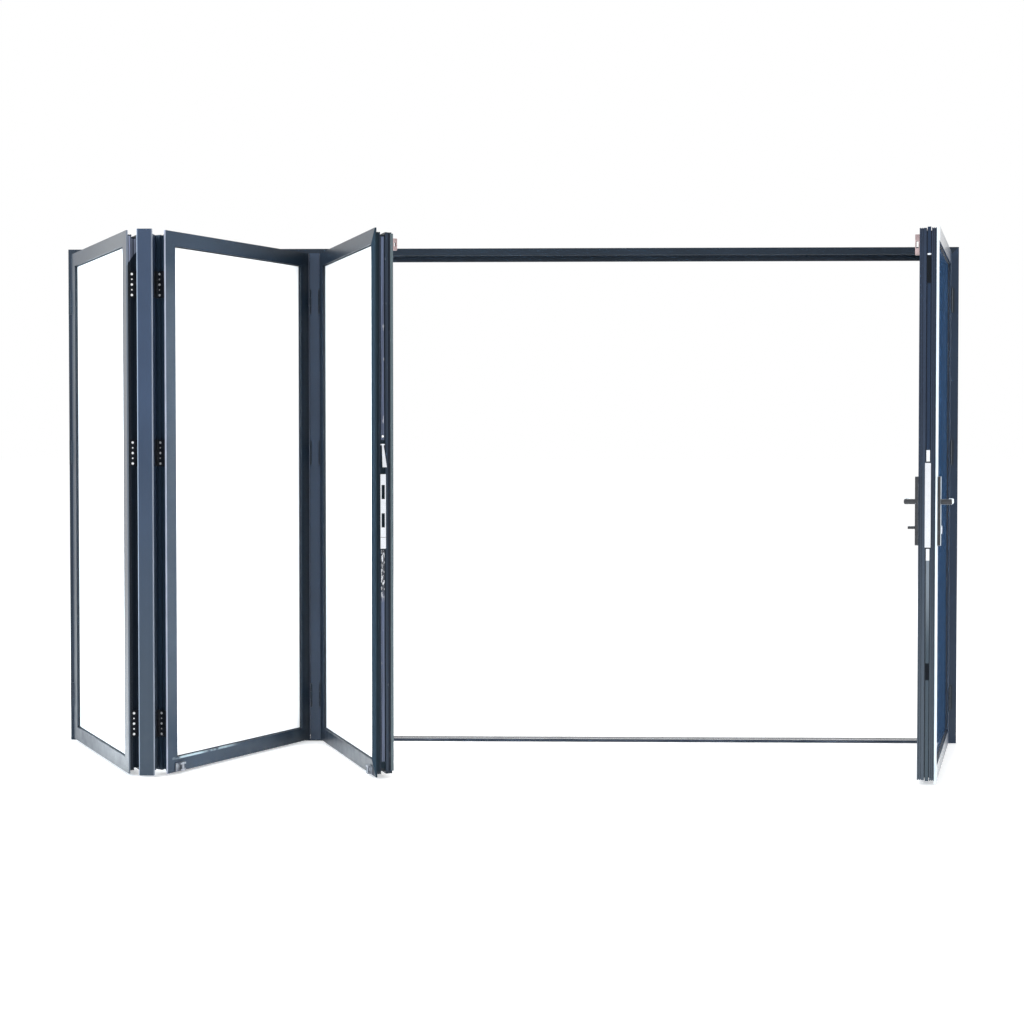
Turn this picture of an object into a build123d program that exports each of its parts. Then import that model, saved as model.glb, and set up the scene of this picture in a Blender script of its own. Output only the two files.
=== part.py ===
"""Aluminium bifold door set: three folding leaves and one access leaf in a lipped outer frame.

Millimetres. X runs along the opening, Y into the building, Z up. The origin is the middle of
the underside of the sill.
"""

import math
import os

from build123d import *

os.makedirs("parts", exist_ok=True)

# Outer frame
frame_width = 3600.0
frame_height = 2000.0
frame_depth = 70.0
frame_face = 28.0
access_jamb_extra = 17.0
stop_reach = 20.0
stop_depth = 8.0
sill_height = 11.0
sill_groove_width = 8.0
sill_groove_depth = 6.0
track_slot = 14.0
track_chamber_width = 28.0
track_chamber_low = 9.0
track_chamber_height = 15.0
back_groove_width = 22.0
back_groove_depth = 5.0
fixing_hole = 9.0
fixing_spacing = 1500.0
head_fixing_spacing = 2400.0
head_fixing_back = 21.0

# Leaves
fold_leaf = 850.0
meeting_gap = 4.0
lip_low = 8.0
lip_below_top = 21.0
lip_over_jamb = 7.0
lip_reach = 17.0
top_lip = 13.0
bottom_lip = 8.0
lip_thickness = 6.0
leaf_depth = 66.0
leaf_face = 53.0
glazing_platform = 36.0
front_leg = 10.0
groove_width = 18.0
groove_depth = 9.0
rib_width = 3.0
rib_depth = 2.0
rib_inset = 4.0
rib_pitch = 6.5
rib_count = 2
meeting_flange = 6.0
flange_width = 9.0
mitre_gap = 0.15
cut_over = 1.0
seat_gap = 0.3
pane = 4.0
bead_depth = 26.0
bead_chamfer = 4.0
lip_to_frame = 3.0

# Hanging of the leaves
fold_angle = 61.0
third_angle = 68.7
access_angle = 74.0
pin_beyond_lip = 6.5
pin_behind_face = 0.0
lip_gap_outer = 40.0
lip_gap_inner = 50.0
back_pin_depth = 51.0
hinge_gap = 8.5

# Hinges
hinge_low_inset = 179.0
hinge_high_inset = 194.0
hinge_middle_share = 0.5916
hinge_plate = 97.0
plate_thickness = 3.0
jamb_plate_thickness = 4.5
plate_width = 31.0
knuckle_radius = 6.0
pin_radius = 3.0
fold_knuckle_radius = 3.9
knuckle_facets = 12
knuckle_relief = 0.8
strap_thickness = 2.0
mullion_plate_thickness = 2.0
plate_margin = 1.0
jamb_plate_reach = 13.5
pin_clearance = 0.3
knuckle_share = 31.0
knuckle_gap = 0.5

# Mullions
mullion_overrun = 2.0
cover_width = 57.0
cover_thickness = 7.0
cover_stand = 1.0
cover_bevel = 4.0
inner_bevel = 1.5
neck_width = 34.0
mullion_box = 57.0
outer_mullion_back = 45.0
inner_face = 41.0
inner_mullion_back = 60.0
inner_face_thickness = 6.0
mullion_body_inset = 17.0
mullion_groove = 12.0

# Lock and handles of the access leaf
lever_height = 1002.5
cylinder_drop = 92.0
handle_inset = 27.0
plate_below_lever = 155.0
plate_above_lever = 89.0
handle_plate_width = 30.0
handle_plate_depth = 11.0
lever_reach = 50.0
lever_length = 118.0
lever_thickness = 14.0
lever_height_size = 20.0
lever_chamfer = 3.0
neck_radius = 9.5
hole_clearance = 0.5
handle_corner = 6.0
lever_end = 9.5
faceplate_width = 20.0
faceplate_thickness = 3.0
faceplate_below_lever = 161.5
faceplate_above_lever = 137.0
rod_width = 12.0
rod_thickness = 6.0
bolt_clearance = 2.0
rod_margin = 5.0
turn_neck = 5.5
turn_reach = 25.0
turn_length = 26.0
turn_thickness = 10.0
turn_corner = 3.0
turn_foot = 5.0
turn_overlap = 8.0
cylinder_round = 8.5
cylinder_tail = 10.0
cylinder_corner = 4.9
cylinder_tail_drop = 16.0
cylinder_stand = 4.0

# Meeting edge of the third leaf
strike_below_lever = 172.5
strike_above_lever = 95.5
strike_slot_width = 12.0
strike_slot_height = 51.0
strike_slot_offsets = (31.5, -70.5)
strike_joint_above = 41.0
strike_joint = 1.5
strike_corner = 2.0
finger_above_lever = 202.0
finger_length = 86.0
finger_root = 6.0
finger_tip = 16.0
finger_thickness = 4.0
finger_angle = 18.0
finger_barrel = 3.6
finger_barrel_length = 10.0
finger_pin = 2.0
finger_rod_gap = 16.0
fold_rod_inset_low = 52.0
fold_rod_inset_high = 29.0

# Small fittings
catch_width = 46.0
catch_height = 30.0
catch_base = 4.0
catch_reach = 15.0
catch_inset = 62.0
catch_level = 26.0
catch_cheek_width = 28.0
catch_cheek_thickness = 7.0
catch_cheek_shift = 6.0
catch_roller_radius = 4.5
catch_roller_facets = 12
buffer_width = 18.0
buffer_depth = 15.0
buffer_wall = 3.5
buffer_open = 0.35
third_buffer_height = 42.0
third_buffer_drop = 55.0
access_buffer_height = 72.0
access_buffer_drop = 71.0
buffer_inset = 26.0
carriage_length = 74.0
carriage_play = 2.0
carriage_corner = 3.0
stem_radius = 5.0
stem_overlap = 2.0
guide_length = 40.0
guide_width = 24.0
guide_play = 1.0
guide_height = 5.0
guide_clearance = 1.0

# Derived places
half_width = frame_width / 2
front = -frame_depth / 2
back = frame_depth / 2
leaf_front = front - lip_to_frame - lip_thickness
pin_line = leaf_front + pin_behind_face
lip_edge = half_width - frame_face + lip_over_jamb
access_lip_edge = lip_edge - access_jamb_extra
jamb_pin = lip_edge + pin_beyond_lip
access_pin = access_lip_edge + pin_beyond_lip
back_pin_inset = lip_reach - hinge_gap / 2
mullion_pins = cover_width + hinge_gap
groove_middle = leaf_depth / 2
lip_high = frame_height - lip_below_top
leaf_height = lip_high - lip_low
access_leaf = lip_edge + access_lip_edge - 3 * fold_leaf - lip_gap_outer - lip_gap_inner - meeting_gap
hinge_middle = lip_low + hinge_middle_share * leaf_height
hinge_heights = (lip_low + hinge_low_inset, hinge_middle, lip_high - hinge_high_inset)
mullion_low = lip_low - mullion_overrun
mullion_high = lip_high + mullion_overrun
plate_low = lever_height - plate_below_lever
plate_high = lever_height + plate_above_lever
faceplate_low = lever_height - faceplate_below_lever
faceplate_high = lever_height + faceplate_above_lever
bolt_low = sill_height + bolt_clearance
bolt_high = frame_height - frame_face - bolt_clearance
strike_low = lever_height - strike_below_lever
strike_high = lever_height + strike_above_lever
finger_pivot = lever_height + finger_above_lever
fold_rod_low = lip_low + fold_rod_inset_low
fold_rod_high = lip_high - fold_rod_inset_high
third_buffer_level = lip_high - third_buffer_drop
access_buffer_level = lip_high - access_buffer_drop


def turned(pin_x, pin_y, local_x, local_y, angle):
    """Plan plane of a leaf turned about a pin that lies at a local point of the leaf."""
    c = math.cos(math.radians(angle))
    s = math.sin(math.radians(angle))
    x = pin_x - local_x * c + local_y * s
    y = pin_y - local_x * s - local_y * c
    return Plane(origin=(x, y, 0), x_dir=(c, s, 0), z_dir=(0, 0, 1))


leaf_1 = turned(-jamb_pin, pin_line, -pin_beyond_lip, pin_behind_face, -fold_angle)
outer_pin = leaf_1.from_local_coords((fold_leaf - back_pin_inset, back_pin_depth, 0))
leaf_2 = turned(outer_pin.X + mullion_pins, outer_pin.Y, back_pin_inset, back_pin_depth, fold_angle)
inner_pin = leaf_2.from_local_coords((fold_leaf + pin_beyond_lip, pin_behind_face, 0))
inner_pins = lip_gap_inner - 2 * pin_beyond_lip
leaf_3 = turned(inner_pin.X + inner_pins, inner_pin.Y, -pin_beyond_lip, pin_behind_face, -third_angle)
leaf_4 = turned(access_pin, pin_line, access_leaf + pin_beyond_lip, pin_behind_face, access_angle)
outer_mullion_plan = Plane(
    origin=(outer_pin.X + mullion_pins / 2, outer_pin.Y - back_pin_depth, 0), z_dir=(0, 0, 1)
)
inner_mullion_plan = Plane(
    origin=(inner_pin.X + inner_pins / 2, inner_pin.Y - pin_behind_face, 0), z_dir=(0, 0, 1)
)


def save(piece, node):
    """Name a finished piece and write its file."""
    piece.part.label = node
    export_step(piece.part, f"parts/{node}.step")


def rect(x0, x1, y0, y1, mode=Mode.ADD):
    """Rectangle between two corners of the current sketch."""
    with Locations(((x0 + x1) / 2, (y0 + y1) / 2)):
        Rectangle(abs(x1 - x0), abs(y1 - y0), mode=mode)


def mitre(origin, direction):
    """Trim the current bar by a mitre plane, keeping the side the direction points to."""
    split(bisect_by=Plane(origin=origin, z_dir=direction), keep=Keep.TOP)


# Outer frame
def frame_section(outer, side):
    """Jamb section: face, stop at the back and a bracket groove in the outer side."""
    inner = outer + side * frame_face
    rect(outer, inner, front, back)
    rect(inner, inner + side * stop_reach, back - stop_depth, back)
    middle = back_groove_width / 2
    rect(outer, outer + side * back_groove_depth, -middle, middle, Mode.SUBTRACT)


def jamb(node, outer, side, extra=0):
    """Upright of the outer frame, mitred to the head, with two fixing holes and wider if asked."""
    with BuildPart() as piece:
        with BuildSketch(Plane.XY):
            frame_section(outer, side)
        extrude(amount=frame_height)
        mitre((outer, 0, frame_height - mitre_gap), (-side, 0, -1))
        if extra:
            inner = outer + side * frame_face
            wider = inner + side * extra
            under_head = frame_height - frame_face - mitre_gap
            with BuildSketch(Plane.XY):
                rect(inner, wider, front, back - stop_depth - seat_gap)
            extrude(amount=under_head)
            with BuildSketch(Plane.XY):
                rect(inner, wider, front, back)
                rect(wider, wider + side * stop_reach, back - stop_depth, back)
            extrude(amount=under_head - stop_reach)
        with BuildSketch(Plane.YZ.offset(outer - side * cut_over)):
            with Locations((0, frame_height / 2)):
                with GridLocations(1, fixing_spacing, 1, 2):
                    Circle(fixing_hole / 2)
        extrude(amount=side * (frame_face + extra + 2 * cut_over), mode=Mode.SUBTRACT)
    save(piece, node)


jamb("left_jamb", -half_width, 1)
jamb("right_jamb", half_width, -1, access_jamb_extra)

with BuildPart() as head:
    with BuildSketch(Plane.YZ.offset(-half_width)):
        rect(front, back, frame_height - frame_face, frame_height)
        rect(back - stop_depth, back, frame_height - frame_face - stop_reach, frame_height - frame_face)
        slot_low = frame_height - frame_face
        chamber = slot_low + track_chamber_low
        rect(-track_slot / 2, track_slot / 2, slot_low, chamber, Mode.SUBTRACT)
        half = track_chamber_width / 2
        rect(-half, half, chamber, chamber + track_chamber_height, Mode.SUBTRACT)
    extrude(amount=frame_width)
    mitre((-half_width + mitre_gap, 0, frame_height), (1, 0, 1))
    mitre((half_width - mitre_gap, 0, frame_height), (-1, 0, 1))
    with BuildSketch(Plane.XY.offset(frame_height - frame_face - cut_over)):
        with Locations((0, head_fixing_back)):
            with GridLocations(head_fixing_spacing, 1, 2, 1):
                Circle(fixing_hole / 2)
    extrude(amount=frame_face + 2 * cut_over, mode=Mode.SUBTRACT)
save(head, "head")

sill_start = -half_width + frame_face + seat_gap
sill_end = half_width - frame_face - access_jamb_extra - seat_gap
with BuildPart() as sill:
    with BuildSketch(Plane.YZ.offset(sill_start)):
        rect(front, back - stop_depth - seat_gap, 0, sill_height)
        half = sill_groove_width / 2
        rect(-half, half, sill_height - sill_groove_depth, sill_height, Mode.SUBTRACT)
    extrude(amount=sill_end - sill_start)
save(sill, "sill")


# Leaf profiles
def section_rects(lip):
    """Lipped leaf section as boxes of reach from the lip edge and depth from the face."""
    low = groove_middle - groove_width / 2
    high = groove_middle + groove_width / 2
    solid = [
        (0, leaf_face, 0, lip_thickness),
        (lip, leaf_face, 0, front_leg),
        (lip, glazing_platform, 0, leaf_depth),
    ]
    cut = [(lip, lip + groove_depth, low, high)]
    front_ribs = [lip_thickness + rib_inset + count * rib_pitch for count in range(rib_count)]
    back_ribs = [leaf_depth - rib_inset - rib_width - count * rib_pitch for count in range(rib_count)]
    for start in front_ribs + back_ribs:
        cut.append((lip, lip + rib_depth, start, start + rib_width))
    return solid, cut


def stile(node, leaf, edge, side, flange=0):
    """Upright of a leaf, drawn in plan at one edge and mitred at both ends."""
    solid, cut = section_rects(lip_reach)
    if flange:
        solid.append((lip_reach, lip_reach + flange_width, leaf_depth, leaf_depth + flange))
    with BuildPart() as piece:
        with BuildSketch(leaf.offset(lip_low)):
            for u0, u1, v0, v1 in solid:
                rect(edge + side * u0, edge + side * u1, v0, v1)
            for u0, u1, v0, v1 in cut:
                rect(edge + side * u0, edge + side * u1, v0, v1, Mode.SUBTRACT)
        extrude(amount=leaf_height)
        low = leaf.from_local_coords((edge, 0, lip_low + mitre_gap))
        high = leaf.from_local_coords((edge, 0, lip_high - mitre_gap))
        mitre(low, leaf.x_dir * -side + leaf.z_dir)
        mitre(high, leaf.x_dir * -side - leaf.z_dir)
    save(piece, node)


def rail(node, leaf, length, level, side, lip, rod_end):
    """Cross bar of a leaf, mitred and trimmed flush with the stiles, open to the rods at one end."""
    solid, cut = section_rects(lip)
    across = Plane(origin=leaf.origin, x_dir=leaf.y_dir, z_dir=leaf.x_dir)
    with BuildPart() as piece:
        with BuildSketch(across):
            for u0, u1, v0, v1 in solid:
                rect(v0, v1, level + side * u0, level + side * u1)
            for u0, u1, v0, v1 in cut:
                rect(v0, v1, level + side * u0, level + side * u1, Mode.SUBTRACT)
        extrude(amount=length)
        start = leaf.from_local_coords((mitre_gap, 0, level))
        end = leaf.from_local_coords((length - mitre_gap, 0, level))
        mitre(start, leaf.x_dir - leaf.z_dir * side)
        mitre(end, leaf.x_dir * -1 - leaf.z_dir * side)
        low = groove_middle - groove_width / 2
        notch = lip_reach + groove_depth
        for end, place, deeper in ((-1, 0, 0), (1, length - lip_reach, length - notch)):
            with BuildSketch(across.offset(place)):
                rect(lip_thickness, leaf_depth, level, level + side * lip_reach)
            extrude(amount=lip_reach, mode=Mode.SUBTRACT)
            if end == rod_end:
                with BuildSketch(across.offset(deeper)):
                    rect(low, low + groove_width, level, level + side * notch)
                extrude(amount=notch, mode=Mode.SUBTRACT)
    save(piece, node)


def glazing(number, leaf, length):
    """Two panes of the sealed unit and the bead ring that holds them from inside."""
    face = Plane(origin=leaf.origin, x_dir=leaf.x_dir, z_dir=leaf.y_dir * -1)
    inset = glazing_platform + seat_gap
    middle = (length / 2, (lip_low + lip_high) / 2)
    bead_front = leaf_depth - bead_depth
    with BuildPart() as glass:
        for start in (front_leg + seat_gap, bead_front - seat_gap - pane):
            with BuildSketch(face.offset(-start)):
                with Locations(middle):
                    Rectangle(length - 2 * inset, leaf_height - 2 * inset)
            extrude(amount=-pane)
    save(glass, f"leaf_{number}_glass")
    with BuildPart() as beads:
        with BuildSketch(face.offset(-bead_front)):
            with Locations(middle):
                Rectangle(length - 2 * inset, leaf_height - 2 * inset)
                Rectangle(length - 2 * leaf_face, leaf_height - 2 * leaf_face, mode=Mode.SUBTRACT)
        extrude(amount=-bead_depth)
        rear = beads.faces().sort_by(Axis((0, 0, 0), leaf.y_dir))[-1]
        chamfer(rear.inner_wires()[0].edges(), bead_chamfer)
    save(beads, f"leaf_{number}_beads")


leaves = {1: (leaf_1, fold_leaf), 2: (leaf_2, fold_leaf), 3: (leaf_3, fold_leaf), 4: (leaf_4, access_leaf)}
meeting_leaf = 3
rod_ends = {1: 0, 2: 0, 3: 1, 4: -1}
for number, (leaf, length) in leaves.items():
    rod_end = rod_ends[number]
    stile(f"leaf_{number}_left_stile", leaf, 0, 1)
    stile(f"leaf_{number}_right_stile", leaf, length, -1, meeting_flange if number == meeting_leaf else 0)
    rail(f"leaf_{number}_top_rail", leaf, length, lip_high, -1, top_lip, rod_end)
    rail(f"leaf_{number}_bottom_rail", leaf, length, lip_low, 1, bottom_lip, rod_end)
    glazing(number, leaf, length)


# Mullions that join the folding leaves
def hinge_reliefs(plan, half_pins, depth):
    """Clear the knuckles of the hinges out of the current mullion."""
    for height in hinge_heights:
        with BuildSketch(plan.offset(height - hinge_plate / 2 - cut_over)) as section:
            with Locations((-half_pins, depth), (half_pins, depth)):
                Circle(fold_knuckle_radius + knuckle_relief)
        extrude(section.sketch, amount=hinge_plate + 2 * cut_over, mode=Mode.SUBTRACT)


def mullion_core(plan, half, depth_low, depth_high):
    """Box of a mullion behind its face, shortened to pass under the head."""
    with BuildSketch(plan.offset(mullion_low + mullion_body_inset)) as section:
        rect(-half, half, depth_low, depth_high)
        groove_low = (depth_low + depth_high - mullion_groove) / 2
        for side in (-1, 1):
            floor = side * (half - rib_depth)
            rect(side * half, floor, groove_low, groove_low + mullion_groove, Mode.SUBTRACT)
    extrude(section.sketch, amount=mullion_high - mullion_low - 2 * mullion_body_inset)


def face_strip(plan, half, depth_low, depth_high, bevel):
    """Flat strip on the face of a mullion, with both front edges bevelled."""
    with BuildSketch(plan.offset(mullion_low)) as section:
        rect(-half, half, depth_low, depth_high)
        chamfer(section.vertices().group_by(Axis.Y)[0], bevel)
    extrude(section.sketch, amount=mullion_high - mullion_low)


with BuildPart() as outer_mullion:
    face_strip(
        outer_mullion_plan, cover_width / 2, -cover_stand - cover_thickness, -cover_stand, cover_bevel
    )
    with BuildSketch(outer_mullion_plan.offset(mullion_low)):
        rect(-neck_width / 2, neck_width / 2, -cover_stand, lip_thickness + cover_stand)
    extrude(amount=mullion_high - mullion_low)
    mullion_core(outer_mullion_plan, mullion_box / 2, lip_thickness + cover_stand, outer_mullion_back)
save(outer_mullion, "outer_mullion")

with BuildPart() as inner_mullion:
    face_strip(inner_mullion_plan, inner_face / 2, 0, inner_face_thickness, inner_bevel)
    mullion_core(inner_mullion_plan, mullion_box / 2, inner_face_thickness + lip_to_frame, inner_mullion_back)
    with BuildSketch(inner_mullion_plan.offset(mullion_low + mullion_body_inset)):
        rect(-neck_width / 2, neck_width / 2, inner_face_thickness, inner_face_thickness + lip_to_frame)
    extrude(amount=mullion_high - mullion_low - 2 * mullion_body_inset)
    hinge_reliefs(inner_mullion_plan, inner_pins / 2, pin_behind_face)
save(inner_mullion, "inner_mullion")


# Hinges
def knuckle(pin, bored):
    """Round knuckle at a pin, faceted where the hinge only stands folded."""
    with Locations(pin):
        if bored:
            Circle(knuckle_radius)
        else:
            RegularPolygon(fold_knuckle_radius, knuckle_facets)


def middle_half(plan, pin, plate, tongues, bored=False):
    """Hinge halves with one middle knuckle, at every hinge height."""
    for height in hinge_heights:
        with BuildSketch(plan.offset(height - hinge_plate / 2)) as section:
            rect(*plate)
        extrude(section.sketch, amount=hinge_plate)
        with BuildSketch(plan.offset(height - knuckle_share / 2)) as section:
            for tongue in tongues:
                rect(*tongue)
            knuckle(pin, bored)
        extrude(section.sketch, amount=knuckle_share)
        if bored:
            with BuildSketch(plan.offset(height - knuckle_share / 2)) as section:
                with Locations(pin):
                    Circle(pin_radius + pin_clearance)
            extrude(section.sketch, amount=knuckle_share, mode=Mode.SUBTRACT)


def outer_half(plan, pin, plate, tongues, bored=False):
    """Hinge halves with two end knuckles, and a pin where the other half turns on it."""
    share = (hinge_plate - knuckle_share) / 2 - knuckle_gap
    for height in hinge_heights:
        low = height - hinge_plate / 2
        with BuildSketch(plan.offset(low)) as section:
            rect(*plate)
            if bored:
                with Locations(pin):
                    Circle(pin_radius)
        extrude(section.sketch, amount=hinge_plate)
        for start in (low, low + hinge_plate - share):
            with BuildSketch(plan.offset(start)) as section:
                for tongue in tongues:
                    rect(*tongue)
                knuckle(pin, bored)
            extrude(section.sketch, amount=share)


def face_plates(edge, side):
    """Plate and tongue on the front face of a leaf whose lip ends at an edge, and the pin."""
    pin = (edge + side * pin_beyond_lip, pin_behind_face)
    low = -seat_gap - plate_thickness
    plate = (edge - side * seat_gap, edge - side * plate_width, low, -seat_gap)
    tongue = (edge - side * plate_width, pin[0], low, -seat_gap)
    return pin, plate, [tongue]


def lip_plates(edge, side):
    """Plate on the end face behind a leaf's lip, and a strap round the lip to the pin."""
    pin = (edge + side * pin_beyond_lip, pin_behind_face)
    face = edge - side * lip_reach + side * seat_gap
    top = face + side * plate_thickness
    strap_low = lip_thickness + seat_gap
    strap_high = strap_low + strap_thickness
    half_strap = strap_thickness / 2
    plate = (face, top, strap_low, strap_low + plate_width)
    across = (face, pin[0] + side * half_strap, strap_low, strap_high)
    forward = (pin[0] - half_strap, pin[0] + half_strap, pin_behind_face, strap_high)
    return pin, plate, [across, forward]


def jamb_plates(pin_x, side, radius):
    """Plate and tongue on the front face of a jamb, outside the pin."""
    outer = pin_x + side * jamb_plate_reach
    inner = pin_x + side * (radius + knuckle_relief)
    low = front - jamb_plate_thickness
    plate = (inner, outer, low, front - seat_gap)
    tongue = (pin_x, outer, low, front - seat_gap)
    return (pin_x, pin_line), plate, [tongue]


world = Plane.XY
with BuildPart() as left_jamb_hinges:
    middle_half(leaf_1, *lip_plates(0, -1))
    outer_half(world, *jamb_plates(-jamb_pin, -1, fold_knuckle_radius))
save(left_jamb_hinges, "left_jamb_hinges")

with BuildPart() as right_jamb_hinges:
    outer_half(world, *jamb_plates(access_pin, 1, knuckle_radius), bored=True)
save(right_jamb_hinges, "right_jamb_hinges")

with BuildPart() as access_leaf_hinges:
    middle_half(leaf_4, *face_plates(access_leaf, 1), bored=True)
save(access_leaf_hinges, "access_leaf_hinges")


def end_plates(edge, side):
    """Plate and tongue on the end face of a leaf that folds about a pin near its back."""
    face = edge - side * lip_reach + side * seat_gap
    pin = (edge - side * back_pin_inset, back_pin_depth)
    top = face + side * plate_thickness
    plate_end = back_pin_depth - fold_knuckle_radius - plate_margin
    plate = (face, top, plate_end - plate_width, plate_end)
    tongue = (face, top, back_pin_depth - plate_width, back_pin_depth)
    return pin, plate, [tongue]


def mullion_plates(side):
    """Plate and tongue on the side of the outer mullion."""
    face = side * (mullion_box / 2 + seat_gap)
    outer = face + side * mullion_plate_thickness
    pin = (side * mullion_pins / 2, back_pin_depth)
    plate = (face, outer, outer_mullion_back - plate_width, outer_mullion_back - plate_margin)
    tongue = (face, outer, outer_mullion_back - plate_width, back_pin_depth)
    return pin, plate, [tongue]


with BuildPart() as outer_mullion_hinges:
    middle_half(leaf_1, *end_plates(fold_leaf, 1))
    middle_half(leaf_2, *end_plates(0, -1))
    outer_half(outer_mullion_plan, *mullion_plates(-1))
    outer_half(outer_mullion_plan, *mullion_plates(1))
save(outer_mullion_hinges, "outer_mullion_hinges")


def inner_plates(side):
    """Narrow plate let into the edge of the inner mullion's face strip, beside the pin."""
    pin = (side * inner_pins / 2, pin_behind_face)
    inner = pin[0] - side * fold_knuckle_radius
    plate = (inner, inner + side * strap_thickness / 2, seat_gap, strap_thickness)
    tongue = (inner, pin[0], seat_gap, strap_thickness)
    return pin, plate, [tongue]


with BuildPart() as inner_mullion_hinges:
    middle_half(leaf_2, *lip_plates(fold_leaf, 1))
    middle_half(leaf_3, *lip_plates(0, -1))
    outer_half(inner_mullion_plan, *inner_plates(-1))
    outer_half(inner_mullion_plan, *inner_plates(1))
save(inner_mullion_hinges, "inner_mullion_hinges")

# Track gear of the inner mullion
stem_place = inner_mullion_plan.to_local_coords(Vector(inner_mullion_plan.origin.X, 0, 0)).Y
core_low = mullion_low + mullion_body_inset
core_high = mullion_high - mullion_body_inset
chamber_low = frame_height - frame_face + track_chamber_low
with BuildPart() as roller_carriage:
    with BuildSketch(inner_mullion_plan.offset(core_high + seat_gap)):
        with Locations((0, stem_place)):
            Circle(stem_radius)
    extrude(amount=chamber_low + stem_overlap - core_high)
    with BuildSketch(inner_mullion_plan.offset(chamber_low + seat_gap)):
        with Locations((0, stem_place)):
            RectangleRounded(carriage_length, track_chamber_width - 2 * carriage_play, carriage_corner)
    extrude(amount=track_chamber_height - seat_gap - carriage_play)
save(roller_carriage, "roller_carriage")

with BuildPart() as floor_guide:
    with BuildSketch(inner_mullion_plan.offset(core_low - seat_gap)):
        with Locations((0, stem_place)):
            RectangleRounded(guide_length, guide_width, carriage_corner)
    extrude(amount=-guide_height)
    with BuildSketch(inner_mullion_plan.offset(core_low - seat_gap - guide_height)):
        with Locations((0, stem_place)):
            Circle(sill_groove_width / 2 - guide_play)
    groove_floor_level = sill_height - sill_groove_depth
    extrude(amount=-(core_low - seat_gap - guide_height - groove_floor_level - guide_clearance))
save(floor_guide, "floor_guide")

# Lock of the access leaf
edge_face = lip_reach - seat_gap
groove_floor = lip_reach + groove_depth - seat_gap
with BuildPart() as lock_faceplate:
    with BuildSketch(leaf_4.offset(faceplate_low)):
        half = faceplate_width / 2
        rect(edge_face - faceplate_thickness, edge_face, groove_middle - half, groove_middle + half)
    extrude(amount=faceplate_high - faceplate_low)
save(lock_faceplate, "lock_faceplate")

with BuildPart() as shoot_bolts:
    for low, high in ((bolt_low, faceplate_low - rod_margin), (faceplate_high + rod_margin, bolt_high)):
        with BuildSketch(leaf_4.offset(low)):
            half = rod_width / 2
            rect(groove_floor - rod_thickness, groove_floor, groove_middle - half, groove_middle + half)
        extrude(amount=high - low)
save(shoot_bolts, "shoot_bolts")

front_view = Plane(origin=leaf_4.origin, x_dir=leaf_4.x_dir, z_dir=leaf_4.y_dir * -1)
plate_middle = (handle_inset, (plate_low + plate_high) / 2)
lever_point = (handle_inset, lever_height)
cylinder_point = (handle_inset, lever_height - cylinder_drop)
with BuildPart() as handle_plates:
    for start, way in ((seat_gap, 1), (-leaf_depth - seat_gap, -1)):
        with BuildSketch(front_view.offset(start)):
            with Locations(plate_middle):
                RectangleRounded(handle_plate_width, plate_high - plate_low, handle_corner)
            with Locations(lever_point):
                Circle(neck_radius + hole_clearance, mode=Mode.SUBTRACT)
        extrude(amount=way * handle_plate_depth)
    turn_seat = front_view.offset(-leaf_depth - seat_gap)
    with BuildSketch(turn_seat):
        with Locations(cylinder_point):
            Circle(turn_neck + hole_clearance)
    extrude(amount=-handle_plate_depth, mode=Mode.SUBTRACT)
save(handle_plates, "handle_plates")


def lever(node, start, way):
    """Lever handle: neck through its plate and an arm towards the hinges."""
    with BuildPart() as piece:
        with BuildSketch(front_view.offset(start)):
            with Locations(lever_point):
                Circle(neck_radius)
        extrude(amount=way * lever_reach)
        with BuildSketch(front_view.offset(start + way * (lever_reach - lever_thickness))):
            half = lever_height_size / 2
            with Locations((handle_inset + lever_length / 2 - half, lever_height)):
                RectangleRounded(lever_length, lever_height_size, lever_end)
        extrude(amount=way * lever_thickness)
        tip = piece.faces().sort_by(Axis((0, 0, 0), leaf_4.y_dir * -way))[-1]
        chamfer(tip.edges(), lever_chamfer)
    save(piece, node)


lever("outer_lever", seat_gap, 1)
lever("inner_lever", -leaf_depth - seat_gap, -1)

with BuildPart() as thumb_turn:
    with BuildSketch(turn_seat):
        with Locations(cylinder_point):
            Circle(turn_neck)
    extrude(amount=-(handle_plate_depth + turn_foot + turn_overlap))
    with BuildSketch(front_view.offset(-leaf_depth - handle_plate_depth - turn_foot)):
        with Locations(cylinder_point):
            RectangleRounded(turn_length, turn_thickness, turn_corner)
    extrude(amount=-(turn_reach - turn_foot))
save(thumb_turn, "thumb_turn")

with BuildPart() as key_cylinder:
    with BuildSketch(front_view.offset(handle_plate_depth + 2 * seat_gap)):
        with Locations(cylinder_point):
            Circle(cylinder_round)
        with Locations((cylinder_point[0], cylinder_point[1] - cylinder_tail_drop / 2)):
            RectangleRounded(cylinder_tail, cylinder_tail_drop + cylinder_tail, cylinder_corner)
    extrude(amount=cylinder_stand)
save(key_cylinder, "key_cylinder")

# Meeting edge of the third leaf
meeting_face = fold_leaf - lip_reach + seat_gap
meeting_floor = fold_leaf - lip_reach - groove_depth + seat_gap
end_view = Plane(
    origin=leaf_3.from_local_coords((meeting_face, 0, 0)), x_dir=leaf_3.y_dir, z_dir=leaf_3.x_dir
)
with BuildPart() as strike_plate:
    with BuildSketch(end_view):
        with Locations((groove_middle, (strike_low + strike_high) / 2)):
            RectangleRounded(faceplate_width, strike_high - strike_low, strike_corner)
        for offset in strike_slot_offsets:
            with Locations((groove_middle, lever_height + offset)):
                Rectangle(strike_slot_width, strike_slot_height, mode=Mode.SUBTRACT)
        with Locations((groove_middle, strike_low + strike_joint_above)):
            Rectangle(faceplate_width, strike_joint, mode=Mode.SUBTRACT)
    extrude(amount=faceplate_thickness)
save(strike_plate, "strike_plate")

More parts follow.
